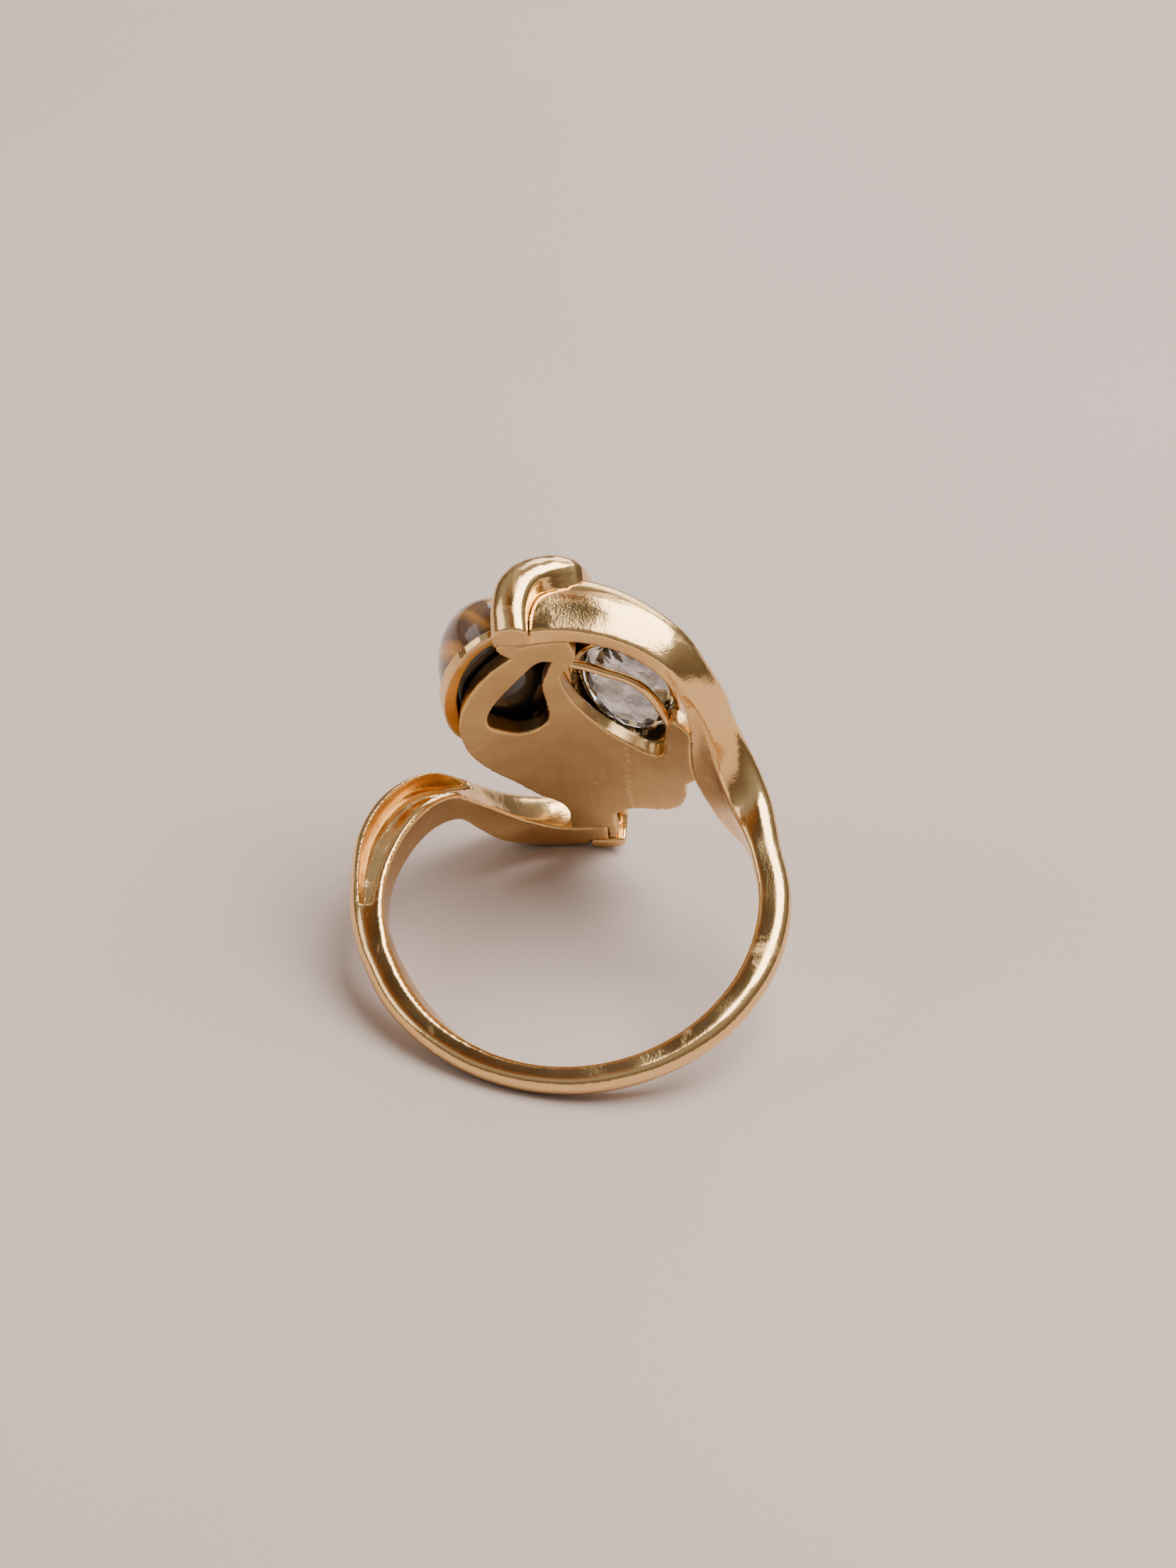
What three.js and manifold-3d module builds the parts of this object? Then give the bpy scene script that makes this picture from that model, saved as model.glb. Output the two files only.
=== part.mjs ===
// Gold cocktail ring: a bypass shank whose two shoulders sweep round the ends of an oval head,
// with a tiger's eye cabochon and a clear faceted stone either side of a ribbon.
// Millimetres. Drawn about the finger axis (X across, Y along the finger, Z towards the head)
// and then turned into the attitude in which the ring lies on a table, Z up.
import * as THREE from 'three';
import Module from 'manifold-3d';

// ---- driving dimensions ----
const fingerRadius = 8.65;        // inside radius of the shank
const bandThickness = 1.5;        // finger hole to the crown of the shank, at the shoulders
const bandWorn = 0.38;            // thinner by this at the back, where it is worn
const bandWidth = 1.5;            // along the finger
const bandCone = 0.75;            // the hole closes in by this on the far side, lower left
const bandNear = -0.5;            // near side face of the shank, along the finger
const plateGap = 0.3;             // finger hole to the underside of the gallery plate
const plateThickness = 0.8;
const bezelWall = 0.3;
const stoneClearance = 0.02;      // stone to its setting
const sliver = 0.003;             // edges shorter than this are merged after a cut
const ribbonWidth = 1.7;
const ribRadius = 0.23;
const tigerHalfWidth = 2.75, tigerHalfLength = 4.3, tigerHeight = 2.9, tigerGirdle = 0.88;
const tigerRim = -0.6;            // top of its bezel, from the widest part of the stone
const clearHalfWidth = 2.5, clearHalfLength = 4.2, clearCrown = 0.8, clearPavilion = 1.2;
const restTilt = 63.25, restRoll = -7.5;  // how the finger axis leans when the ring lies down, degrees

// the shapes below are drawn round a hole of this radius, and move out or in with the real one
const drawnRadius = 8.65;
const lift = fingerRadius - drawnRadius;
const plateIn = fingerRadius + plateGap, plateOut = plateIn + plateThickness;
const bandFar = bandNear + bandWidth;
const rad = THREE.MathUtils.degToRad;

// ---- manifold helpers ----
const wasm = await Module();
wasm.setup();

function weld(geometry) {
  // merged vertex list and triangles wound outwards
  const source = geometry.index ? geometry.toNonIndexed() : geometry;
  const p = source.getAttribute('position');
  const ids = new Map(), verts = [], tris = [];
  const idOf = (i) => {
    const c = [p.getX(i), p.getY(i), p.getZ(i)];
    const key = c.map((v) => Math.round(v * 1e4)).join(' ');
    if (!ids.has(key)) { ids.set(key, verts.length / 3); verts.push(...c); }
    return ids.get(key);
  };
  for (let i = 0; i < p.count; i += 3) {
    const [a, b, c] = [idOf(i), idOf(i + 1), idOf(i + 2)];
    if (a !== b && b !== c && a !== c) tris.push([a, b, c]);
  }
  let volume = 0;
  const at = (i) => new THREE.Vector3(verts[3 * i], verts[3 * i + 1], verts[3 * i + 2]);
  for (const [a, b, c] of tris) volume += at(a).dot(at(b).cross(at(c)));
  if (volume < 0) tris.forEach((t) => t.reverse());
  return { verts, tris };
}

function solid(geometry) {
  const { verts, tris } = weld(geometry);
  return new wasm.Manifold(new wasm.Mesh({
    numProp: 3, vertProperties: new Float32Array(verts), triVerts: new Uint32Array(tris.flat()),
  }));
}

// the largest body of a cut, without the slivers the cut leaves along its edges
function biggest(body) {
  const largest = (b) => b.decompose().sort((p, q) => q.volume() - p.volume())[0];
  return largest(largest(body).simplify(sliver));
}

// ---- curves and lofts ----
const onFinger = (angle, along, radius) => new THREE.Vector3(
  (radius + lift) * Math.cos(rad(angle)), along, (radius + lift) * Math.sin(rad(angle)));
const seated = ([x, y, z], out = lift) => {
  const grown = 1 + out / Math.hypot(x, z);
  return new THREE.Vector3(x * grown, y, z * grown);
};

// closed section drawn in a square: s runs near to far, t from the finger outwards
const bandSection = [
  [-0.88, -1], [-0.44, -1], [0, -1], [0.44, -1], [0.88, -1],
  [1, -0.8], [1, -0.35], [1, 0.1], [0.97, 0.36],
  [0.78, 0.66], [0.52, 0.87], [0.26, 0.97], [0, 1], [-0.26, 0.97], [-0.52, 0.87], [-0.78, 0.66],
  [-0.97, 0.36], [-1, 0.1], [-1, -0.35], [-1, -0.8],
];
const barSection = [
  [-0.95, -1], [-0.47, -1], [0, -1], [0.47, -1], [0.95, -1],
  [1, -0.9], [1, -0.4], [1, 0.1], [0.95, 0.5],
  [0.75, 0.8], [0.45, 0.95], [0.2, 1], [-0.05, 1], [-0.3, 0.97], [-0.6, 0.86], [-0.87, 0.6],
  [-1.04, 0.25], [-1.12, -0.1], [-1.08, -0.5], [-1, -0.93],
];

function blend(weight) {
  return bandSection.map(([s, t], i) => [
    s + (barSection[i][0] - s) * weight, t + (barSection[i][1] - t) * weight]);
}

// a closed cylinder whose rings are laid on the given loops of points
function loft(loops) {
  const sides = loops[0].length, rows = loops.length - 1;
  const geometry = new THREE.CylinderGeometry(1, 1, 1, sides, rows);
  const p = geometry.getAttribute('position');
  for (let i = 0; i < p.count; i++) {
    const row = Math.round((p.getY(i) + 0.5) * rows), loop = loops[row];
    const v = new THREE.Vector3();
    if (Math.hypot(p.getX(i), p.getZ(i)) < 0.5) {
      loop.forEach((q) => v.addScaledVector(q, 1 / sides));
    } else {
      const turn = Math.atan2(p.getX(i), p.getZ(i)) / (2 * Math.PI) * sides;
      v.copy(loop[((Math.round(turn) % sides) + sides) % sides]);
    }
    p.setXYZ(i, v.x, v.y, v.z);
  }
  return geometry;
}

// sweeps a section between four corner curves: near/inner, far/inner, far/outer, near/outer
function sweep(corners, weights, rows) {
  const curves = corners.map((c) => new THREE.CatmullRomCurve3(c, false, 'centripetal'));
  const last = weights.length - 1;
  const loops = [];
  for (let r = 0; r <= rows; r++) {
    const u = r / rows, at = u * last, k = Math.min(last - 1, Math.floor(at));
    const [ni, fi, fo, no] = curves.map((c) => c.getPoint(u));
    const weight = weights[k] + (weights[k + 1] - weights[k]) * (at - k);
    loops.push(blend(weight).map(([s, t]) => {
      const x = (s + 1) / 2, y = (t + 1) / 2;
      return new THREE.Vector3()
        .addScaledVector(ni, (1 - x) * (1 - y)).addScaledVector(fi, x * (1 - y))
        .addScaledVector(fo, x * y).addScaledVector(no, (1 - x) * y);
    }));
  }
  return loft(loops);
}

const corner = (rows, k) => rows.map((row) => onFinger(...row[k]));
const tracks = (rows) => [corner(rows, 0), corner(rows, 1), corner(rows, 2), corner(rows, 3)];

function fingerCylinder(radius, length = 60) {
  return solid(new THREE.CylinderGeometry(radius, radius, length, 96));
}

// ---- shank ----
const shankStart = 18, shankEnd = -165;
function bandCorners(angle) {
  const side = Math.cos(rad(angle)) ** 2, lean = Math.exp(-(((angle + 142) / 34) ** 2));
  const crown = drawnRadius + bandThickness - bandWorn * (1 - side) - 0.1 * lean;
  const far = bandFar - 0.25 * (1 - side);
  return [
    [angle, bandNear, drawnRadius - 0.05 * lean], [angle, far, drawnRadius - bandCone * lean],
    [angle, far, crown - 0.2 * lean], [angle, bandNear, crown]];
}
const shankRows = [];
for (let i = 0; i <= 12; i++) shankRows.push(bandCorners(shankStart + (shankEnd - shankStart) * i / 12));
const shank = solid(sweep(tracks(shankRows), shankRows.map(() => 0), 60));

// ---- shoulder that sweeps round the near end of the head; angle, along, radius per corner ----
const inner = drawnRadius, barUnder = drawnRadius + plateGap - 0.05;
const nearRows = [
  bandCorners(shankStart),
  [[25, -0.45, inner], [25, 1.3, inner], [25, 1.1, 10.35], [25, -0.6, 10.42]],
  [[33.5, -0.4, inner + 0.15], [33, 2.1, inner], [32, 1.4, 10.7], [31.5, -1.0, 10.75]],
  [[42.5, -1.4, 9.1], [42, 2.4, inner + 0.1], [40, 1.0, 10.95], [39, -2.2, 11.0]],
  [[46.5, -3.0, 9.3], [52, 0.8, barUnder], [50, -1.2, 11.0], [44.5, -3.4, 11.15]],
  [[50, -4.8, 9.4], [52, -3.4, barUnder], [54, -3.6, 11.2], [48.5, -5.0, 11.25]],
  [[54, -6.5, 9.3], [53.8, -5.5, barUnder], [57, -5.2, 11.3], [53.5, -6.4, 11.2]],
  [[60.4, -7.9, 9.15], [60, -6.9, barUnder], [62, -6.4, 11.4], [60, -7.8, 11.4]],
  [[68, -8.6, 9.05], [67, -7.6, barUnder], [69, -7.2, 11.6], [68, -8.7, 11.5]],
  [[77.5, -9.0, 9.0], [77, -8.1, barUnder], [78, -7.6, 12.0], [78, -9.2, 11.8]],
  [[88, -9.25, 9.0], [88, -8.3, barUnder], [88, -7.6, 12.4], [88, -9.2, 12.2]],
  [[97, -9.4, 9.0], [97, -8.3, barUnder], [96, -7.6, 12.4], [96, -9.2, 12.3]],
  [[104, -9.4, 9.0], [104, -8.3, barUnder], [102, -7.8, 12.1], [102, -9.1, 12.0]],
];
const nearWeights = [0, 0.2, 0.55, 0.9, 1, 1, 1, 1, 1, 1, 1, 1, 1];
const nearSweep = solid(sweep(tracks(nearRows), nearWeights, 48));

// ---- shoulder that sweeps round the far end, hollow on its near side ----
const farRows = [
  bandCorners(shankEnd),
  [[-177, bandNear, inner - 0.02], [-177, 1.2, inner - 0.2], [-177, 1.2, 10.2], [-177, -0.45, 10.2]],
  [[170, -0.4, inner], [170, 1.5, inner - 0.1], [170, 1.6, 10.5], [170, -0.2, 10.5]],
  [[158, -0.2, inner], [158, 2.0, inner], [158, 2.3, 10.9], [158, 0.1, 11.1]],
  [[147, 0.1, 8.7], [147, 2.3, 8.7], [147, 2.8, 11.1], [147, 0.5, 11.4]],
  [[138, 0.6, 8.75], [138, 2.8, 8.75], [138, 3.6, 11.2], [138, 1.1, 11.45]],
  [[130, 1.5, 8.8], [130, 3.8, 8.8], [130, 4.6, 11.2], [130, 1.8, 11.25]],
  [[124, 3.0, 8.8], [124, 5.7, 8.8], [124, 6.4, 11.2], [124, 3.0, 11.0]],
  [[117, 4.8, 8.85], [117, 7.8, 8.85], [117, 8.4, 11.2], [117, 4.8, 10.8]],
  [[108, 6.9, 8.9], [108, 9.2, 8.9], [108, 9.9, 11.3], [108, 6.8, 10.8]],
  [[98, 8.2, barUnder], [98, 9.9, barUnder], [98, 10.4, 11.4], [98, 8.1, 11.0]],
  [[90, 8.4, barUnder], [90, 9.9, barUnder], [90, 10.4, 11.5], [90, 8.3, 11.2]],
  [[84, 8.2, barUnder], [84, 9.7, barUnder], [84, 10.2, 11.5], [84, 8.2, 11.3]],
];
const farWeights = [0, 0.3, 0.6, 0.8, 0.9, 1, 1, 1, 1, 1, 1, 1, 1];
const farMirror = (rows) => rows.map(([ni, fi, fo, no]) => [fi, ni, no, fo]);
const farSweep = solid(sweep(tracks(farMirror(farRows)), farWeights, 48));
const hollowRows = [
  [[181, -1.5, 9.2], [181, -0.1, 9.2], [181, -0.1, 9.8], [181, -1.5, 9.8]],
  [[168, -1.2, 9.1], [168, 0.4, 9.1], [168, 0.5, 10.1], [168, -1.2, 10.15]],
  [[156, -0.9, 9.1], [156, 1.0, 9.1], [156, 1.2, 10.5], [156, -0.8, 10.6]],
  [[146, -0.6, 9.15], [146, 1.5, 9.15], [146, 1.9, 10.7], [146, -0.4, 10.8]],
  [[137, 0.0, 9.2], [137, 2.2, 9.2], [137, 2.8, 10.8], [137, 0.2, 10.9]],
  [[129, 1.2, 9.25], [129, 3.2, 9.3], [129, 3.6, 10.7], [129, 1.2, 10.7]],
  [[122, 3.3, 9.9], [122, 3.7, 9.9], [122, 3.7, 10.15], [122, 3.3, 10.15]],
];
const hollow = solid(sweep(tracks(hollowRows), hollowRows.map(() => 0.3), 24));

// ---- ribbon over the top, its two ends folded down as straps; outer line and inner line ----
const ribbonOuter = [
  [-2.35, -10.2, 8.45], [-2.45, -10.5, 9.8], [-2.1, -10.35, 11.5], [-1.0, -9.4, 13.0],
  [-0.4, -7.6, 13.7], [0.1, -5, 13.7], [0.4, -2, 13.2], [0.7, 1, 12.6], [0.95, 4, 12.1],
  [1.05, 6.6, 11.7], [1.05, 8.5, 11.5], [1.0, 9.7, 10.8], [0.95, 10.15, 9.8], [0.9, 10.08, 8.8],
].map((v) => seated(v));
const ribbonInner = [
  [-2.35, -8.75, 8.45], [-2.35, -9.0, 9.9], [-2.0, -9.1, 10.9], [-0.9, -8.5, 11.3],
  [-0.4, -7.3, 11.0], [0.1, -5, 10.8], [0.4, -2, 10.6], [0.7, 1, 10.1], [0.9, 4, 9.6],
  [1.0, 6.2, 9.5], [1.0, 7.7, 9.9], [1.0, 8.9, 10.1], [0.95, 9.3, 9.5], [0.9, 9.4, 8.8],
].map((v) => seated(v));
// how much wider it spreads at each station, widest where it turns over the near end
const ribbonSpread = [1, 1, 1.15, 1.85, 1.8, 1.5, 1.3, 1.15, 1, 1, 1, 1, 1, 1];
const ribbonEdge = (line, side) => line.map((v, i) => v.clone()
  .addScaledVector(new THREE.Vector3(0.99, -0.14, 0), side * ribbonSpread[i] * ribbonWidth / 2));
const ribbonCorners = [
  ribbonEdge(ribbonInner, -1), ribbonEdge(ribbonInner, 1),
  ribbonEdge(ribbonOuter, 1), ribbonEdge(ribbonOuter, -1)];
const ribbonSweep = solid(sweep(ribbonCorners, ribbonOuter.map(() => 0.35), 44));

// ---- gallery plate, curved to the finger and pierced ----
const spline = (points, n) => new THREE.SplineCurve(
  [...points, points[0]].map(([x, y]) => new THREE.Vector2(x * (1 + lift / 9.35), y))).getPoints(n).slice(0, -1);
const plateOutline = [
  [-2.5, -7.4], [-3.8, -6.45], [-4.75, -5.1], [-5.15, -3.4], [-5.0, -1.4], [-4.5, 0.4],
  [-3.8, 2.0], [-3.0, 3.4], [-2.1, 4.9], [-1.2, 5.9], [-0.8, 7.0], [-0.7, 9.2], [1.3, 9.2],
  [1.35, 7.2], [2.1, 6.3], [3.5, 5.6], [4.5, 4.6], [5.0, 3.2], [5.15, 1.8], [5.75, 0.5],
  [5.85, -1.5], [5.75, -2.8], [5.0, -3.4], [4.45, -3.0], [4.25, -1.2], [4.0, 0.2], [3.4, 0.55],
  [2.4, 0.1], [1.4, -0.8], [0.5, -2.2], [0.0, -3.4], [-0.3, -4.6], [-0.3, -5.5], [0.2, -6.2],
  [0.45, -7.2], [0.25, -8.1], [0.0, -8.6], [-1.2, -8.65], [-2.9, -8.8], [-3.0, -8.2],
];
const openingA = [
  [-0.7, -6.6], [-1.4, -6.6], [-2.4, -5.4], [-3.4, -4.2], [-3.85, -3.3], [-3.85, -2.4],
  [-3.4, -1.7], [-2.6, -0.95], [-1.8, -1.0], [-1.2, -1.7], [-1.2, -3.2], [-1.3, -4.6], [-1.0, -5.7],
];
const plateShape = new THREE.Shape(spline(plateOutline, 120).reverse());
plateShape.holes.push(new THREE.Path(spline(openingA, 40)));
const plateBlank = solid(new THREE.ExtrudeGeometry(plateShape, { depth: 12, bevelEnabled: false }));
const plateShell = fingerCylinder(plateOut).subtract(fingerCylinder(plateIn));
const plateBody = plateBlank.intersect(plateShell);

// ---- wire rib soldered across the right-hand opening ----
const ribPath = new THREE.CatmullRomCurve3([
  [-0.5, -6.3], [0.2, -6.05], [0.9, -5.8], [1.7, -5.5], [2.5, -5.35], [3.2, -5.05], [3.7, -4.5],
  [4.15, -3.6], [4.5, -2.7], [4.9, -1.9],
].map(([x, y]) => seated([x, y, Math.sqrt((plateIn - lift + 0.3) ** 2 - x * x)])));
const ribShape = new THREE.Shape(new THREE.EllipseCurve(0, 0, ribRadius, ribRadius).getPoints(10).slice(0, -1));
const ribBody = solid(new THREE.ExtrudeGeometry(ribShape, { steps: 24, extrudePath: ribPath }));

// ---- settings and stones ----
// oval prism in a frame tilted about the finger, from one height to another
function ovalPrism(frame, halfWidth, halfLength, from, to, segments = 48) {
  const geometry = new THREE.CylinderGeometry(1, 1, to - from, segments);
  geometry.rotateX(Math.PI / 2);
  geometry.translate(0, 0, (from + to) / 2);
  geometry.scale(halfWidth, halfLength, 1);
  geometry.applyMatrix4(frame);
  return solid(geometry);
}
// a setting's frame, standing on the plate with its near end at the given place along the finger
function seatFrame(x, near, z, halfLength, tilt) {
  const at = seated([x, near + halfLength, z], plateOut - 9.75);
  return new THREE.Matrix4().makeTranslation(at.x, at.y, at.z)
    .multiply(new THREE.Matrix4().makeRotationY(rad(tilt)));
}
const tigerFrame = seatFrame(-3.4, -8.2, 10.2, tigerHalfLength, -20);
const clearFrame = seatFrame(2.75, -7.2, 10.5, clearHalfLength, 16);
const onPlate = fingerCylinder(plateOut);

function setting(frame, halfWidth, halfLength, seat, rim) {
  const c = stoneClearance;
  return ovalPrism(frame, halfWidth + bezelWall, halfLength + bezelWall, -2.6, rim)
    .subtract(ovalPrism(frame, halfWidth + c, halfLength + c, seat, rim + 1))
    .subtract(ovalPrism(frame, halfWidth - 0.4, halfLength - 0.4, -4, seat + 0.5))
    .subtract(onPlate);
}

const tigerProfile = [new THREE.Vector2(0, -tigerGirdle), new THREE.Vector2(1, -tigerGirdle)];
for (let i = 0; i <= 10; i++) {
  const a = i / 10 * Math.PI / 2;
  tigerProfile.push(new THREE.Vector2(i === 10 ? 0 : Math.cos(a) ** 0.85, tigerHeight * Math.sin(a)));
}
const tigerGeometry = new THREE.LatheGeometry(tigerProfile, 40);
tigerGeometry.rotateX(Math.PI / 2).scale(tigerHalfWidth, tigerHalfLength, 1).applyMatrix4(tigerFrame);
const tigerBody = solid(tigerGeometry);

const clearProfile = [
  [0, -clearPavilion], [0.3, -clearPavilion], [0.74, -0.8 * clearPavilion], [1, -0.3], [1, 0.06],
  [0.8, 0.55 * clearCrown], [0.56, clearCrown], [0, clearCrown],
].map(([r, z]) => new THREE.Vector2(r, z));
const clearGeometry = new THREE.LatheGeometry(clearProfile, 16);
clearGeometry.rotateX(Math.PI / 2).scale(clearHalfWidth, clearHalfLength, 1).applyMatrix4(clearFrame);
const clearBody = solid(clearGeometry);

const tigerSetting = setting(tigerFrame, tigerHalfWidth, tigerHalfLength, -tigerGirdle - stoneClearance, tigerRim);
const clearSetting = ovalPrism(clearFrame, clearHalfWidth + bezelWall, clearHalfLength + bezelWall, -2.6, 0.3)
  .subtract(ovalPrism(clearFrame, clearHalfWidth + stoneClearance, clearHalfLength + stoneClearance, -3, 1))
  .subtract(onPlate);

// ---- trimming: each piece gives way to the one laid over it ----
const ribbon = biggest(ribbonSweep.subtract(onPlate.intersect(plateBlank)).subtract(tigerBody).subtract(clearBody));
const nearBar = biggest(nearSweep.subtract(ribbon).subtract(shank));
const farBar = biggest(farSweep.subtract(hollow).subtract(ribbon).subtract(shank));
const rib = biggest(ribBody.subtract(nearBar));
const plate = biggest(plateBody.subtract(nearBar).subtract(farBar).subtract(ribbon).subtract(rib));
const bars = wasm.Manifold.union([nearBar, farBar, ribbon, rib]);
const tigerBezel = biggest(tigerSetting.subtract(bars));
const clearCollet = biggest(clearSetting.subtract(bars).subtract(tigerBezel));
const tigerStone = biggest(tigerBody.subtract(bars).subtract(tigerBezel));
const clearStone = biggest(clearBody.subtract(bars).subtract(clearCollet));

// ---- assembly, laid down on the table ----
const gold = new THREE.MeshStandardMaterial({ color: 0xc99a5b, roughness: 0.25, metalness: 1 });
const tiger = new THREE.MeshStandardMaterial({ color: 0x6b4420, roughness: 0.2, metalness: 0 });
const clear = new THREE.MeshStandardMaterial({ color: 0xd8dce0, roughness: 0.05, metalness: 0 });
gold.name = 'gold';
tiger.name = 'tigers_eye';
clear.name = 'clear_stone';

const laid = new THREE.Matrix4().makeRotationY(rad(restRoll))
  .multiply(new THREE.Matrix4().makeRotationX(rad(-restTilt)));
const pieces = [
  ['shank', shank, gold], ['near_shoulder_bar', nearBar, gold], ['far_shoulder_bar', farBar, gold],
  ['ribbon_strap', ribbon, gold], ['gallery_plate', plate, gold], ['gallery_rib', rib, gold],
  ['tigers_eye_bezel', tigerBezel, gold], ['tigers_eye_cabochon', tigerStone, tiger],
  ['clear_stone_collet', clearCollet, gold], ['clear_stone', clearStone, clear],
];
const laidPieces = pieces.map(([name, body, material]) => {
  const mesh = body.getMesh();
  const geometry = new THREE.BufferGeometry();
  geometry.setAttribute('position', new THREE.BufferAttribute(new Float32Array(mesh.vertProperties), 3));
  geometry.setIndex(new THREE.BufferAttribute(new Uint32Array(mesh.triVerts), 1));
  geometry.applyMatrix4(laid);
  geometry.computeVertexNormals();
  const node = new THREE.Mesh(geometry, material);
  node.name = name;
  return node;
});

const box = new THREE.Box3();
for (const node of laidPieces) {
  node.geometry.computeBoundingBox();
  box.union(node.geometry.boundingBox);
}
const centre = box.getCenter(new THREE.Vector3());
const group = new THREE.Group();
group.name = 'cocktail_ring';
for (const node of laidPieces) {
  node.geometry.translate(-centre.x, -centre.y, -box.min.z);
  group.add(node);
}
export default group;
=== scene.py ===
import bpy
import bmesh
import math
from mathutils import Matrix, Vector


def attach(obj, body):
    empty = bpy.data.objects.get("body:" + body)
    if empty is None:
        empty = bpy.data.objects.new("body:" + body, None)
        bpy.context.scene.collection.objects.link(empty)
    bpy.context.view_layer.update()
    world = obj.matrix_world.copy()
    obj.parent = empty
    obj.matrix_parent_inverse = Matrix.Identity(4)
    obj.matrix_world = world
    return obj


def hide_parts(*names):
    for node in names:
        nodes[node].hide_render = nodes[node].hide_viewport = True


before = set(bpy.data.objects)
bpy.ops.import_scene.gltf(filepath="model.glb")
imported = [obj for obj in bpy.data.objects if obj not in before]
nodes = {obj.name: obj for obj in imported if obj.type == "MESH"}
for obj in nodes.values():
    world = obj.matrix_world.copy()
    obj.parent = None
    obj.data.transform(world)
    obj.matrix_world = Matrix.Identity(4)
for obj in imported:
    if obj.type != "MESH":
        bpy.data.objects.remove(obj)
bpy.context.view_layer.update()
mm = 0.001


# where the ring lies

ringLie = {
    "leanBack": -63.25,      # finger axis, degrees from level
    "leanSide": -7.5,
    "crownRight": 10.15,     # finger centre to the crown of the shank, at its right side
    "crownBack": 9.76,       # and at its back
    "nearFace": -0.5,        # near side face of the shank, along the finger
}


def ringPlacement():
    # to the table, from the ring's own axes in millimetres: X across, Y along the finger, Z to the head
    turn = (Matrix.Rotation(math.radians(ringLie["leanSide"]), 4, "Y")
            @ Matrix.Rotation(math.radians(ringLie["leanBack"]), 4, "X"))
    back = turn.inverted()
    shank = [back @ v.co for v in nodes["shank"].data.vertices]
    centre = Vector((max(p.x for p in shank) - ringLie["crownRight"] * mm,
                     min(p.y for p in shank) - ringLie["nearFace"] * mm,
                     min(p.z for p in shank) + ringLie["crownBack"] * mm))
    return Matrix.Translation(turn @ centre) @ turn @ Matrix.Scale(mm, 4)


toTable = ringPlacement()
fingerCentre = toTable @ Vector((0, 0, 0))
print("ring lies with its finger centre at", [round(c * 1000, 3) for c in fingerCentre])


# node tools

def addNode(tree, kind, at, **inputs):
    node = tree.nodes.new(kind)
    node.location = at
    for key, value in inputs.items():
        node.inputs[key.replace("_", " ")].default_value = value
    return node


def addMath(tree, operation, at, first, second, third=None):
    # each term is a number or a socket
    node = tree.nodes.new("ShaderNodeMath")
    node.operation = operation
    node.location = at
    for slot, term in enumerate((first, second, third)):
        if isinstance(term, (int, float)):
            node.inputs[slot].default_value = term
        elif term is not None:
            tree.links.new(term, node.inputs[slot])
    return node.outputs["Value"]


def addRange(tree, value, at, start, end, low=0.0, high=1.0):
    # turns start to end of a value into low to high
    node = addNode(tree, "ShaderNodeMapRange", at, From_Min=start, From_Max=end, To_Min=low, To_Max=high)
    tree.links.new(value, node.inputs["Value"])
    return node.outputs["Result"]


def addNoise(tree, coords, at, **inputs):
    node = addNode(tree, "ShaderNodeTexNoise", at, **inputs)
    tree.links.new(coords, node.inputs["Vector"])
    return node


def addRamp(tree, value, at, stops):
    node = addNode(tree, "ShaderNodeValToRGB", at)
    while len(node.color_ramp.elements) < len(stops):
        node.color_ramp.elements.new(0.5)
    for element, (place, colour) in zip(node.color_ramp.elements, stops):
        element.position = place
        element.color = (*colour, 1)
    tree.links.new(value, node.inputs["Fac"])
    return node.outputs["Color"]


def objectCoords(tree, at):
    return addNode(tree, "ShaderNodeTexCoord", at).outputs["Object"]


def mixColour(tree, factor, first, second, at):
    # first and second are a colour or a socket
    mix = tree.nodes.new("ShaderNodeMix")
    mix.data_type = "RGBA"
    mix.location = at
    tree.links.new(factor, mix.inputs["Factor"])
    for slot, value in ((6, first), (7, second)):
        if isinstance(value, tuple):
            mix.inputs[slot].default_value = (*value, 1)
        else:
            tree.links.new(value, mix.inputs[slot])
    return mix.outputs[2]


def newGroup(name, inputs, outputs):
    tree = bpy.data.node_groups.new(name, "ShaderNodeTree")
    for label, value in inputs:
        socket = tree.interface.new_socket(name=label, in_out="INPUT", socket_type="NodeSocketFloat")
        socket.default_value = value
    for label in outputs:
        kind = "NodeSocketVector" if label == "Normal" else "NodeSocketFloat"
        tree.interface.new_socket(name=label, in_out="OUTPUT", socket_type=kind)
    return tree, tree.nodes.new("NodeGroupInput"), tree.nodes.new("NodeGroupOutput")


def useGroup(tree, group, at, **inputs):
    node = tree.nodes.new("ShaderNodeGroup")
    node.node_tree = group
    node.location = at
    for key, value in inputs.items():
        node.inputs[key].default_value = value
    return node


def startMaterial(name):
    material = bpy.data.materials.new(name)
    material.use_nodes = True
    tree = material.node_tree
    return material, tree, tree.nodes["Principled BSDF"]


def addObject(name, data):
    thing = bpy.data.objects.new(name, data)
    bpy.context.scene.collection.objects.link(thing)
    return thing


# wear, and painted shade in the recesses, that both gold finishes share

goldWearAndShade = {
    "rubbed": (0.51, 0.58),          # pointiness where an edge starts to shine, and where it shines fully
    "grimy": (0.485, 0.42),          # and where a hollow starts to hold grime, and is full of it
    "patches": (0.3, 0.65),          # noise that breaks both up
    "leastPatch": 0.35,
    "scratchCut": (0.6, 0.72),       # noise above which a hairline shows
    "paintedShadeCut": (0.42, 0.05),      # openness where a recess starts to darken, and where it is darkest
    "darkest": 0.85,
    "shine": 1.12,                   # rubbed edges against the plain gold
    "grime": (0.10, 0.055, 0.03),
    # painted shade: the near-black colour laid into the narrow recesses and joints
    "paintedShade": (0.045, 0.028, 0.018),
    "gloss": (0.75, 1.35),           # roughness over the clouds, as shares of the finish's own
    "scratchDull": 0.16,
    "scratchDepth": -0.5,            # against the grain's height
    "grainDepth": 0.02 * mm,
    "swayDepth": 0.15 * mm,          # slow waves left by hand polishing
}

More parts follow.
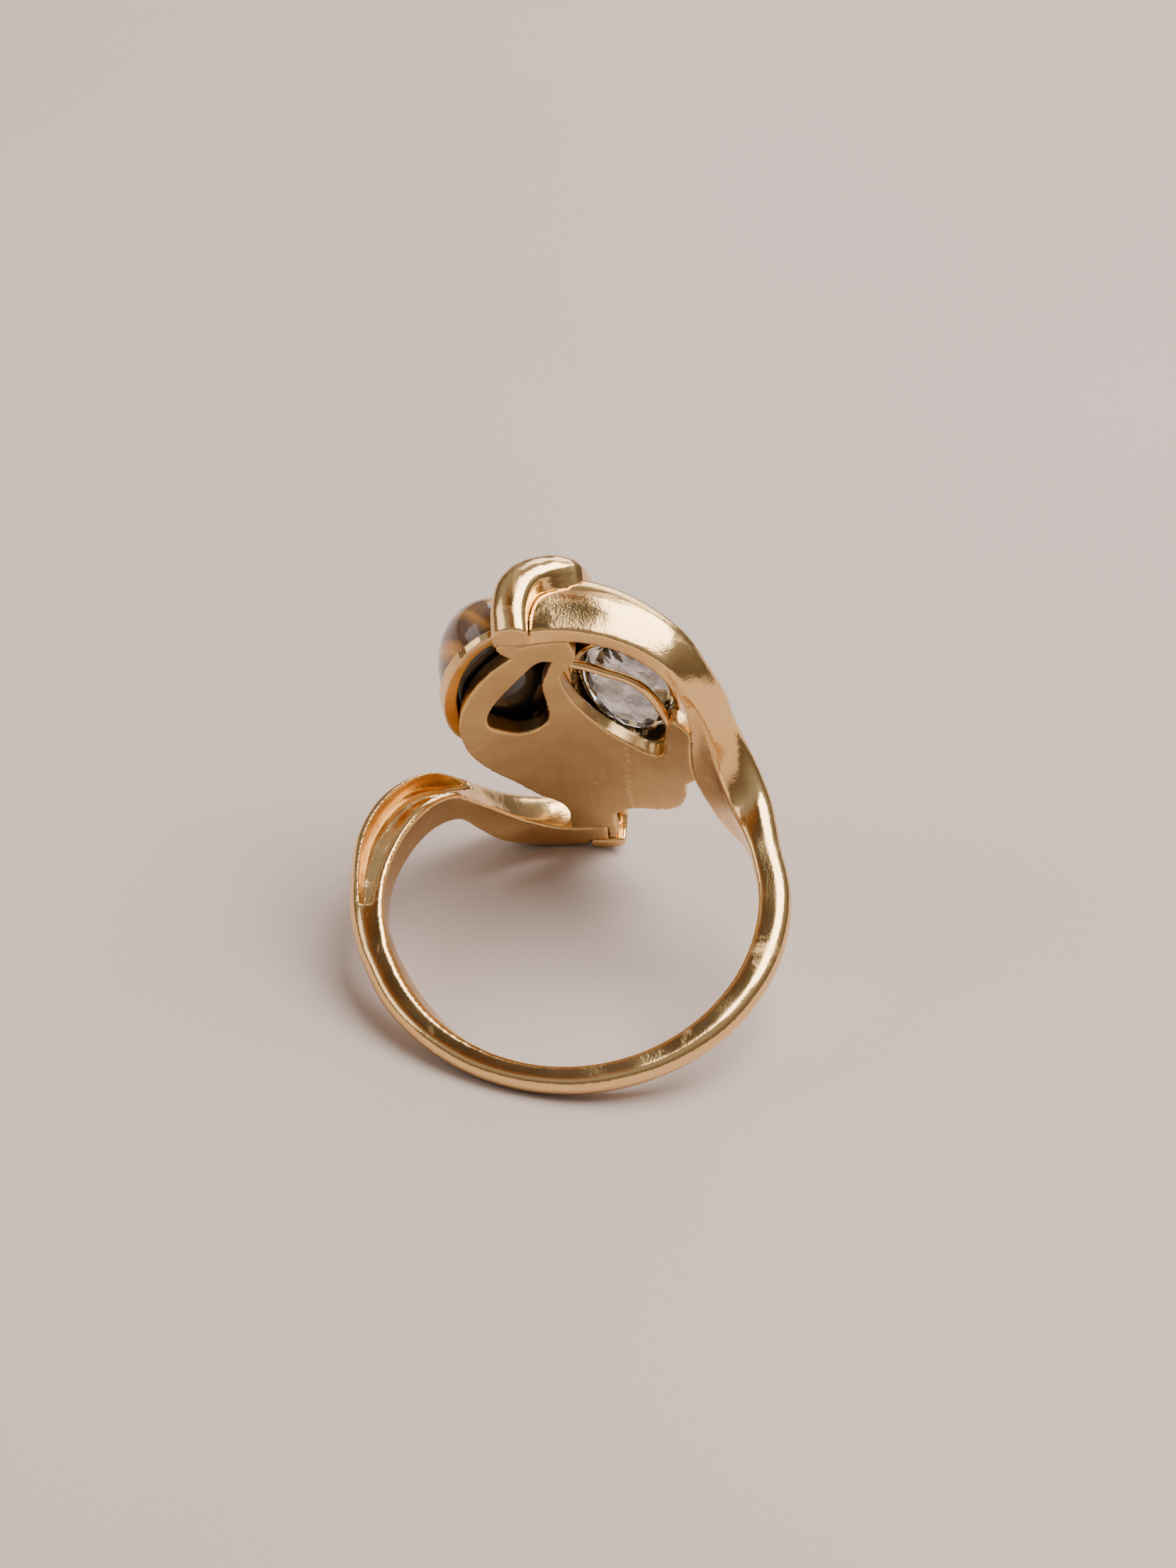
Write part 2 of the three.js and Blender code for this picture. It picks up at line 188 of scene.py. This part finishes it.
scratchRuns = [
    # turn of each run of hairlines, and how it is stretched
    ((0.3, 0.2, 0.9), (1, 0.035, 1)),
    ((0.9, -0.5, 0.2), (0.05, 1, 0.8)),
]


def scratchGroup():
    # hairline scratches in two directions, as a mask
    tree, given, result = newGroup("fine scratches", [("Density", 900.0)], ["Mask"])
    coords = objectCoords(tree, (-900, 0))
    masks = []
    for k, (turn, stretch) in enumerate(scratchRuns):
        place = addNode(tree, "ShaderNodeMapping", (-700, -300 * k), Rotation=turn, Scale=stretch)
        tree.links.new(coords, place.inputs["Vector"])
        noise = addNoise(tree, place.outputs["Vector"], (-500, -300 * k), Detail=3.0, Roughness=0.7)
        tree.links.new(given.outputs["Density"], noise.inputs["Scale"])
        masks.append(addRange(tree, noise.outputs["Fac"], (-300, -300 * k), *goldWearAndShade["scratchCut"]))
    tree.links.new(addMath(tree, "MAXIMUM", (-100, 0), *masks), result.inputs["Mask"])
    return tree


def wearGroup():
    # rubbed edges and grimy hollows, from how the surface turns
    tree, given, result = newGroup("rubbed and grimy", [("Breakup", 1500.0)], ["Edge", "Hollow"])
    shape = addNode(tree, "ShaderNodeNewGeometry", (-700, 0))
    noise = addNoise(tree, objectCoords(tree, (-900, -300)), (-700, -300), Detail=4.0, Roughness=0.6)
    tree.links.new(given.outputs["Breakup"], noise.inputs["Scale"])
    for k, (label, reach) in enumerate([("Edge", goldWearAndShade["rubbed"]), ("Hollow", goldWearAndShade["grimy"])]):
        turned = addRange(tree, shape.outputs["Pointiness"], (-450, -250 * k), *reach)
        patch = addRange(tree, noise.outputs["Fac"], (-450, -250 * k - 120), *goldWearAndShade["patches"],
                         low=goldWearAndShade["leastPatch"])
        worn = addMath(tree, "MULTIPLY", (-250, -250 * k), turned, patch)
        tree.links.new(worn, result.inputs[label])
    return tree


def paintedShadeGroup():
    # painted shade: darkens the narrow recesses by how enclosed they are, as a mask
    tree, given, result = newGroup("recess painted shade", [("Reach", 1.1 * mm)], ["Mask"])
    recess = addNode(tree, "ShaderNodeAmbientOcclusion", (-500, 0))
    recess.samples = 8
    tree.links.new(given.outputs["Reach"], recess.inputs["Distance"])
    mask = addRange(tree, recess.outputs["AO"], (-250, 0), *goldWearAndShade["paintedShadeCut"], high=goldWearAndShade["darkest"])
    tree.links.new(mask, result.inputs["Mask"])
    return tree


def cloudGroup():
    # slow patches of tone and gloss, as a mask
    tree, given, result = newGroup("polishing clouds", [("Size", 260.0)], ["Mask"])
    cloud = addNoise(tree, objectCoords(tree, (-500, 0)), (-250, 0), Detail=3.0, Roughness=0.55)
    tree.links.new(given.outputs["Size"], cloud.inputs["Scale"])
    tree.links.new(cloud.outputs["Fac"], result.inputs["Mask"])
    return tree


def reliefGroup():
    # grain, hairlines and polishing waves, as a normal
    inputs = [("Scratches", 0.0), ("Grain", 9000.0), ("Strength", 0.3), ("Waves", 330.0)]
    tree, given, result = newGroup("worked surface", inputs, ["Normal"])
    coords = objectCoords(tree, (-1300, 0))
    grain = addNoise(tree, coords, (-1100, -300), Detail=2.0)
    tree.links.new(given.outputs["Grain"], grain.inputs["Scale"])
    height = addMath(tree, "MULTIPLY_ADD", (-800, -400), given.outputs["Scratches"],
                     goldWearAndShade["scratchDepth"], grain.outputs["Fac"])
    dent = addNode(tree, "ShaderNodeBump", (-400, -300), Distance=goldWearAndShade["grainDepth"])
    tree.links.new(given.outputs["Strength"], dent.inputs["Strength"])
    tree.links.new(height, dent.inputs["Height"])
    wave = addNoise(tree, coords, (-800, -650), Detail=1.0)
    tree.links.new(given.outputs["Waves"], wave.inputs["Scale"])
    sway = addNode(tree, "ShaderNodeBump", (-200, -450), Strength=1.0, Distance=goldWearAndShade["swayDepth"])
    tree.links.new(wave.outputs["Fac"], sway.inputs["Height"])
    tree.links.new(dent.outputs["Normal"], sway.inputs["Normal"])
    tree.links.new(sway.outputs["Normal"], result.inputs["Normal"])
    return tree


scratches = scratchGroup()
wear = wearGroup()
# the recess mask below is painted shade
paintedShade = paintedShadeGroup()
clouds = cloudGroup()
relief = reliefGroup()


# gold

polishedLook = {
    "colour": (0.90, 0.63, 0.30),
    "deep": (0.80, 0.48, 0.18),
    "roughness": 0.15,
    "cloudSize": 260.0,
    "grainStrength": 0.3,
}

satinLook = {
    "colour": (0.86, 0.60, 0.28),
    "deep": (0.62, 0.37, 0.13),
    "roughness": 0.32,
    "cloudSize": 380.0,
    "grainStrength": 0.6,
}


def goldFinish(name, look):
    material, tree, shader = startMaterial(name)
    shader.inputs["Metallic"].default_value = 1.0
    cloud = useGroup(tree, clouds, (-1100, 100), Size=look["cloudSize"]).outputs["Mask"]
    hair = useGroup(tree, scratches, (-1100, -550)).outputs["Mask"]
    rub = useGroup(tree, wear, (-1100, -750))
    recess = useGroup(tree, paintedShade, (-600, 450)).outputs["Mask"]
    shiny = tuple(min(1.0, c * goldWearAndShade["shine"]) for c in look["colour"])
    tone = mixColour(tree, cloud, look["deep"], look["colour"], (-800, 200))
    bright = mixColour(tree, rub.outputs["Edge"], tone, shiny, (-600, 200))
    grime = mixColour(tree, rub.outputs["Hollow"], bright, goldWearAndShade["grime"], (-400, 200))
    # painted shade: the narrow recesses go near black
    dark = mixColour(tree, recess, grime, goldWearAndShade["paintedShade"], (-200, 300))
    tree.links.new(dark, shader.inputs["Base Color"])
    low, high = (look["roughness"] * share for share in goldWearAndShade["gloss"])
    gloss = addRange(tree, cloud, (-800, -100), 0.0, 1.0, low, high)
    dull = addMath(tree, "MULTIPLY_ADD", (-600, -100), hair, goldWearAndShade["scratchDull"], gloss)
    tree.links.new(dull, shader.inputs["Roughness"])
    worked = useGroup(tree, relief, (-400, -300), Strength=look["grainStrength"])
    tree.links.new(hair, worked.inputs["Scratches"])
    tree.links.new(worked.outputs["Normal"], shader.inputs["Normal"])
    return material


polishedGold = goldFinish("polished gold", polishedLook)
satinGold = goldFinish("satin gallery gold", satinLook)
print("gold finishes made")


# cast and soldered gold pieces

castings = {
    # nodes: what the piece takes the place of, grain: voxel in millimetres, soften: rounds of smoothing
    "castBand": {"nodes": ["shank", "near_shoulder_bar", "far_shoulder_bar"], "grain": 0.088, "soften": 8,
                 "finish": polishedGold},
    "ribbonStrap": {"nodes": ["ribbon_strap"], "grain": 0.07, "soften": 8, "finish": polishedGold},
    "galleryPlate": {"nodes": ["gallery_plate"], "grain": 0.077, "soften": 8, "finish": satinGold},
    "galleryRib": {"nodes": ["gallery_rib"], "grain": 0.04, "soften": 4, "finish": polishedGold},
    "tigersEyeBezel": {"nodes": ["tigers_eye_bezel"], "grain": 0.05, "soften": 4, "finish": polishedGold},
    "clearStoneCollet": {"nodes": ["clear_stone_collet"], "grain": 0.05, "soften": 4,
                         "finish": polishedGold},
}


def closedCopy(nodeNames):
    # the nodes as one set of closed shells, in millimetres
    work = bmesh.new()
    for nodeName in nodeNames:
        shell = bmesh.new()
        shell.from_mesh(nodes[nodeName].data)
        bmesh.ops.scale(shell, vec=(1000, 1000, 1000), verts=shell.verts)
        bmesh.ops.remove_doubles(shell, verts=shell.verts, dist=0.0004)
        bmesh.ops.recalc_face_normals(shell, faces=shell.faces)
        held = bpy.data.meshes.new("held")
        shell.to_mesh(held)
        shell.free()
        work.from_mesh(held)
        bpy.data.meshes.remove(held)
    return work


def castPiece(name, cast):
    # one skin over its nodes, smoothed so that the joints between them soften
    work = closedCopy(cast["nodes"])
    mesh = bpy.data.meshes.new(name + " raw")
    work.to_mesh(mesh)
    work.free()
    raw = addObject(name + " raw", mesh)
    skin = raw.modifiers.new("skin", "REMESH")
    skin.mode = "VOXEL"
    skin.voxel_size = cast["grain"]
    soften = raw.modifiers.new("soften", "SMOOTH")
    soften.factor = 0.5
    soften.iterations = cast["soften"]
    graph = bpy.context.evaluated_depsgraph_get()
    done = bpy.data.meshes.new_from_object(raw.evaluated_get(graph))
    bpy.data.objects.remove(raw)
    shape = bmesh.new()
    shape.from_mesh(done)
    bmesh.ops.scale(shape, vec=(mm, mm, mm), verts=shape.verts)
    for face in shape.faces:
        face.smooth = True
    shape.to_mesh(done)
    triangles = sum(len(face.verts) - 2 for face in shape.faces)
    shape.free()
    done.name = name
    done.materials.clear()
    done.materials.append(cast["finish"])
    piece = addObject(name, done)
    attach(piece, "root")
    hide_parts(*cast["nodes"])
    print(name, "has", triangles, "triangles")


for castName, cast in castings.items():
    castPiece(castName, cast)
print("gold pieces made")


# stones

tigersEye = {
    "seat": (-3.4, -3.9, 10.2),     # middle of the girdle, in the ring's axes
    "tilt": -20,                    # about the finger axis, degrees
    "halfWidth": 2.75,
    "halfLength": 4.3,
    "height": 2.9,
    "girdle": 0.88,
    "fullness": 0.85,               # 1 is a round dome, less is fuller at the sides
    "reach": 0.995,                 # share of the half width and half length that the stone fills
    "footReach": 0.97,
    "footBevel": 0.08,
    "steps": 24,
    "sides": 96,
}

tigersEyeLook = {
    "slant": 0.5,                   # the layers lie at a slant through the stone
    "waver": 0.7,
    "across": (-2.4, 3.45),         # millimetres across the stone over which the bands run
    "bands": [(0.0, (0.02, 0.018, 0.015)), (0.05, (0.045, 0.035, 0.028)), (0.08, (0.45, 0.19, 0.03)),
              (0.115, (0.85, 0.40, 0.06)), (0.16, (0.60, 0.24, 0.03)), (0.20, (0.10, 0.052, 0.034)),
              (0.33, (0.085, 0.05, 0.04)), (0.42, (0.42, 0.19, 0.04)), (0.47, (0.15, 0.07, 0.03)),
              (0.60, (0.09, 0.05, 0.035)), (0.68, (0.60, 0.29, 0.06)), (0.74, (0.20, 0.09, 0.03)),
              (0.85, (0.08, 0.045, 0.03)), (0.93, (0.40, 0.19, 0.04)), (1.0, (0.06, 0.04, 0.03))],
    "silk": (0.30, 0.14, 0.04),
    "silkCut": (0.35, 0.7),
    "silkMost": 0.4,
    # painted shade: the stone's underside goes near black below the girdle, where it sits in the dark
    # opening under the head
    "back": (0.006, 0.007, 0.007),
    "backShadeCut": (-0.2, -0.7),        # height from the girdle where the dark back starts, and is full
}

clearStone = {
    "seat": (2.75, -3.0, 10.5),
    "tilt": 16,
    "halfWidth": 2.5,
    "halfLength": 4.2,
    "crown": 0.8,
    "pavilion": 1.2,
}

# painted reflections: dark and light patches in the stone's colour stand in for what its facets show
clearStoneLook = {
    "dark": (0.16, 0.16, 0.165),
    "light": (0.93, 0.92, 0.91),
    "mottleCut": (0.40, 0.60),
    "hazeCut": (0.45, 0.8),
    "hazeMost": 0.12,
}


def stonePlace(stone):
    return (toTable @ Matrix.Translation(stone["seat"])
            @ Matrix.Rotation(math.radians(stone["tilt"]), 4, "Y"))


def finishStone(work, name, stone, material, nodeName, smooth):
    bmesh.ops.remove_doubles(work, verts=work.verts, dist=0.0005)
    bmesh.ops.recalc_face_normals(work, faces=work.faces)
    bmesh.ops.transform(work, matrix=stonePlace(stone), verts=work.verts)
    for face in work.faces:
        face.smooth = smooth
    mesh = bpy.data.meshes.new(name)
    work.to_mesh(mesh)
    work.free()
    mesh.materials.append(material)
    piece = addObject(name, mesh)
    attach(piece, "root")
    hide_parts(nodeName)


def tigersEyeMaterial():
    look = tigersEyeLook
    material, tree, shader = startMaterial("banded tiger's eye")
    shader.inputs["Roughness"].default_value = 0.35
    shader.inputs["Specular IOR Level"].default_value = 0.1
    shader.inputs["Coat Weight"].default_value = 1.0
    shader.inputs["Coat Roughness"].default_value = 0.03
    shader.inputs["Coat IOR"].default_value = 1.55
    place = stonePlace(tigersEye).inverted()
    own = addNode(tree, "ShaderNodeMapping", (-1300, 0), Location=tuple(place.translation),
                  Rotation=tuple(place.to_euler()), Scale=(1000.0, 1000.0, 1000.0))
    tree.links.new(objectCoords(tree, (-1500, 0)), own.inputs["Vector"])
    inStone = own.outputs["Vector"]
    warp = addNoise(tree, inStone, (-1100, -250), Scale=0.45, Detail=3.0)
    axes = addNode(tree, "ShaderNodeSeparateXYZ", (-1100, 0))
    tree.links.new(inStone, axes.inputs["Vector"])
    slant = addMath(tree, "MULTIPLY_ADD", (-950, 0), axes.outputs["Z"], look["slant"], axes.outputs["X"])
    waver = addMath(tree, "MULTIPLY_ADD", (-800, 0), warp.outputs["Fac"], look["waver"], slant)
    bands = addRamp(tree, addRange(tree, waver, (-650, 0), *look["across"]), (-500, 0), look["bands"])
    fibre = addNode(tree, "ShaderNodeMapping", (-1100, -550), Scale=(0.5, 7.0, 0.5))
    tree.links.new(inStone, fibre.inputs["Vector"])
    strands = addNoise(tree, fibre.outputs["Vector"], (-900, -550), Scale=1.6, Detail=5.0, Roughness=0.7)
    silk = addRange(tree, strands.outputs["Fac"], (-700, -550), *look["silkCut"], high=look["silkMost"])
    body = mixColour(tree, silk, bands, look["silk"], (-250, 0))
    # painted shade over the underside, below the girdle
    back = addRange(tree, axes.outputs["Z"], (-400, 250), *look["backShadeCut"])
    whole = mixColour(tree, back, body, look["back"], (-100, 100))
    tree.links.new(whole, shader.inputs["Base Color"])
    return material


def clearStoneMaterial():
    look = clearStoneLook
    material, tree, shader = startMaterial("clear faceted stone")
    shader.inputs["Transmission Weight"].default_value = 1.0
    shader.inputs["IOR"].default_value = 1.7
    coords = objectCoords(tree, (-900, 0))
    # painted reflections: a mottle of dark and light laid into the stone's colour
    cloud = addNoise(tree, coords, (-700, 0), Scale=700.0, Detail=5.0, Roughness=0.65).outputs["Fac"]
    patch = addRange(tree, cloud, (-550, 200), *look["mottleCut"])
    mottle = mixColour(tree, patch, look["dark"], look["light"], (-400, 100))
    tree.links.new(mottle, shader.inputs["Base Color"])
    haze = addRange(tree, cloud, (-400, -150), *look["hazeCut"], high=look["hazeMost"])
    tree.links.new(haze, shader.inputs["Roughness"])
    return material


def makeTigersEye():
    # half of the outline, spun into a round dome and stretched to the oval
    stone = tigersEye
    work = bmesh.new()
    base = -stone["girdle"]
    line = [work.verts.new((0, 0, base)), work.verts.new((stone["footReach"], 0, base)),
            work.verts.new((stone["reach"], 0, base + stone["footBevel"]))]
    for k in range(stone["steps"] + 1):
        turn = math.pi / 2 * k / stone["steps"]
        out = max(0.0, math.cos(turn)) ** stone["fullness"] * stone["reach"]
        line.append(work.verts.new((out, 0, stone["height"] * math.sin(turn))))
    edges = [work.edges.new((a, b)) for a, b in zip(line, line[1:])]
    bmesh.ops.spin(work, geom=line + edges, cent=(0, 0, 0), axis=(0, 0, 1), angle=math.tau,
                   steps=stone["sides"], use_merge=True)
    bmesh.ops.scale(work, vec=(stone["halfWidth"], stone["halfLength"], 1), verts=work.verts)
    finishStone(work, "tigersEyeCabochon", stone, tigersEyeMaterial(), "tigers_eye_cabochon",
                True)


def makeClearStone():
    # rows of corners with a hull drawn round them, which gives the flat facets
    stone = clearStone
    work = bmesh.new()
    # reach, height, sides and turn of each row, from the back of the stone to its table
    rows = [(0.30, -stone["pavilion"], 8, 0), (0.62, -0.88 * stone["pavilion"], 8, 0.5),
            (0.84, -0.60 * stone["pavilion"], 16, 0.5), (0.99, -0.28, 16, 0), (0.99, 0.06, 16, 0),
            (0.88, 0.42 * stone["crown"], 16, 0.5), (0.74, 0.75 * stone["crown"], 8, 0.5),
            (0.56, stone["crown"], 8, 0)]
    for reach, height, sides, offset in rows:
        turn = Matrix.Rotation(math.tau * offset / sides, 4, "Z")
        row = bmesh.ops.create_circle(work, segments=sides, radius=reach, matrix=turn)["verts"]
        bmesh.ops.translate(work, vec=(0, 0, height), verts=row)
    bmesh.ops.delete(work, geom=work.edges[:], context="EDGES_FACES")
    bmesh.ops.scale(work, vec=(stone["halfWidth"], stone["halfLength"], 1), verts=work.verts)
    bmesh.ops.convex_hull(work, input=work.verts)
    bmesh.ops.dissolve_limit(work, angle_limit=math.radians(1), verts=work.verts, edges=work.edges)
    finishStone(work, "clearStone", stone, clearStoneMaterial(), "clear_stone", False)


makeTigersEye()
makeClearStone()
print("stones set")


# table, light and camera

tableLook = {
    "halfSize": 1.5,      # metres
    "dark": (0.47, 0.375, 0.325),
    "light": (0.55, 0.455, 0.40),
}

room = {
    "strength": 0.44,
    # place on the way from the horizon at 0 to straight up at 1, and colour
    "stops": [(0.0, (0.26, 0.20, 0.16)), (0.30, (0.62, 0.54, 0.48)), (0.62, (1.0, 0.97, 0.95)),
              (0.83, (0.80, 0.76, 0.74)), (0.89, (0.62, 0.27, 0.08)), (0.945, (0.48, 0.19, 0.05)),
              (0.968, (0.08, 0.06, 0.05)), (1.0, (0.03, 0.03, 0.03))],
}

lamps = {
    # name: place in metres from the finger centre, width, height, watts, colour
    "window": ((0.155, 0.03, 0.36), 0.34, 0.34, 3.3, (1.0, 0.98, 0.97)),
    "back": ((0.10, 0.55, 0.30), 0.50, 0.30, 1.6, (1.0, 0.97, 0.95)),
    "fill": ((-0.55, -0.10, 0.30), 0.45, 0.35, 1.0, (1.0, 0.94, 0.90)),
}

viewpoint = {
    "aim": (0.24, 3.05, 4.64),     # millimetres from the finger centre
    "azimuth": 0.15,
    "elevation": 32.68,
    "distance": 260,               # millimetres
    "roll": 5.69,
    "lens": 173.2,
}


def tableMaterial():
    material, tree, shader = startMaterial("pale table")
    shader.inputs["Roughness"].default_value = 0.9
    cloud = addNoise(tree, objectCoords(tree, (-900, 0)), (-700, 0), Scale=18.0, Detail=2.0)
    tone = mixColour(tree, cloud.outputs["Fac"], tableLook["dark"], tableLook["light"], (-400, 0))
    tree.links.new(tone, shader.inputs["Base Color"])
    return material


def makeTable():
    work = bmesh.new()
    bmesh.ops.create_grid(work, x_segments=2, y_segments=2, size=tableLook["halfSize"])
    mesh = bpy.data.meshes.new("table")
    work.to_mesh(mesh)
    work.free()
    mesh.materials.append(tableMaterial())
    addObject("table", mesh)


def makeRoom():
    # a pale room with a dark ceiling, so that polished metal has something to show
    world = bpy.data.worlds.new("room")
    world.use_nodes = True
    bpy.context.scene.world = world
    tree = world.node_tree
    coords = addNode(tree, "ShaderNodeTexCoord", (-900, 0))
    axes = addNode(tree, "ShaderNodeSeparateXYZ", (-700, 0))
    tree.links.new(coords.outputs["Generated"], axes.inputs["Vector"])
    wall = addRamp(tree, axes.outputs["Z"], (-500, 0), room["stops"])
    tree.links.new(wall, tree.nodes["Background"].inputs["Color"])
    tree.nodes["Background"].inputs["Strength"].default_value = room["strength"]


def makeLamps():
    for name, (place, width, height, watts, colour) in lamps.items():
        light = bpy.data.lights.new(name, "AREA")
        light.shape = "RECTANGLE"
        light.size = width
        light.size_y = height
        light.energy = watts
        light.color = colour
        lamp = addObject(name, light)
        lamp.location = fingerCentre + Vector(place)
        lamp.rotation_euler = (-Vector(place)).to_track_quat("-Z", "Y").to_euler()


def makeCamera():
    turn = math.radians(viewpoint["azimuth"])
    rise = math.radians(viewpoint["elevation"])
    back = Vector((math.sin(turn) * math.cos(rise), -math.cos(turn) * math.cos(rise), math.sin(rise)))
    data = bpy.data.cameras.new("camera")
    data.sensor_fit = "HORIZONTAL"
    data.sensor_width = 36
    data.lens = viewpoint["lens"]
    data.clip_start = 0.01
    data.clip_end = 10
    camera = addObject("camera", data)
    look = (-back).to_track_quat("-Z", "Y").to_matrix().to_4x4()
    look = look @ Matrix.Rotation(math.radians(viewpoint["roll"]), 4, "Z")
    aim = fingerCentre + Vector(viewpoint["aim"]) * mm
    camera.matrix_world = Matrix.Translation(aim + back * viewpoint["distance"] * mm) @ look
    bpy.context.scene.camera = camera


makeTable()
makeRoom()
makeLamps()
makeCamera()
print("table, light and camera placed")
